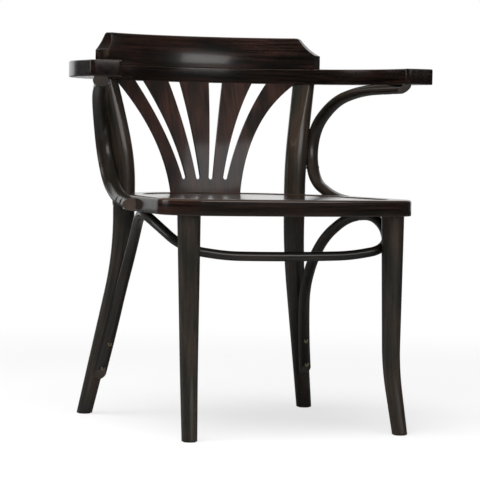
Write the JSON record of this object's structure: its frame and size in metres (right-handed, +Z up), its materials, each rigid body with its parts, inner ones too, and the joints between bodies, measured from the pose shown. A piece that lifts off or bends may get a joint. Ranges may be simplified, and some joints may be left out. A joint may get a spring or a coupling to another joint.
{
  "type": "armchair",
  "caption": "Bentwood bistro armchair: round seat ring, splayed legs, fan-shaped slotted back splat, U-shaped arm bow with curved crest, C-bent arm supports and a bent leg brace",
  "frame": {"origin": "on the floor under the middle of the chair's bounding box", "axes": "+Z up, the sitter faces -Y, +X is on the right of somebody who looks at the front"},
  "size_m": [0.744, 0.606, 0.7913],
  "materials": {
    "rim_wood": "satin lacquer over dark brown stain",
    "panel_wood": "satin lacquer over dark brown stain",
    "leg_wood": "satin lacquer over dark brown stain",
    "bow_wood": "satin lacquer over dark brown stain",
    "crest_wood": "satin lacquer over dark brown stain",
    "splat_wood": "satin lacquer over dark brown stain",
    "rod_wood": "satin lacquer over dark brown stain",
    "plug_wood": "satin lacquer",
    "dowel_wood": "bare beech",
    "steel": "zinc plated",
    "brass": "dulled",
    "glide": "matt"
  },
  "bodies": {
    "root": {"seat_rim": "rim_wood", "seat_panel": "panel_wood", "front_leg_left": "leg_wood", "front_leg_right": "leg_wood", "rear_leg_left": "leg_wood", "rear_leg_right": "leg_wood", "arm_bow": "bow_wood", "crest_rail": "crest_wood", "back_splat": "splat_wood", "arm_support_left": "rod_wood", "arm_support_right": "rod_wood", "brace_hoop": "rod_wood", "rear_leg_bolts": "steel", "rear_leg_washers": "steel", "rear_leg_nuts": "steel", "rear_leg_bolt_plugs": "plug_wood", "arm_support_top_screws": "brass", "arm_support_post_screws": "brass", "arm_support_seat_screws": "brass", "brace_end_screws": "brass", "brace_seat_screws": "brass", "brace_front_leg_screws": "brass", "bow_post_screws": "steel", "crest_dowels": "dowel_wood", "foot_glides": "glide", "glide_nails": "steel"}
  },
  "joints": []
}
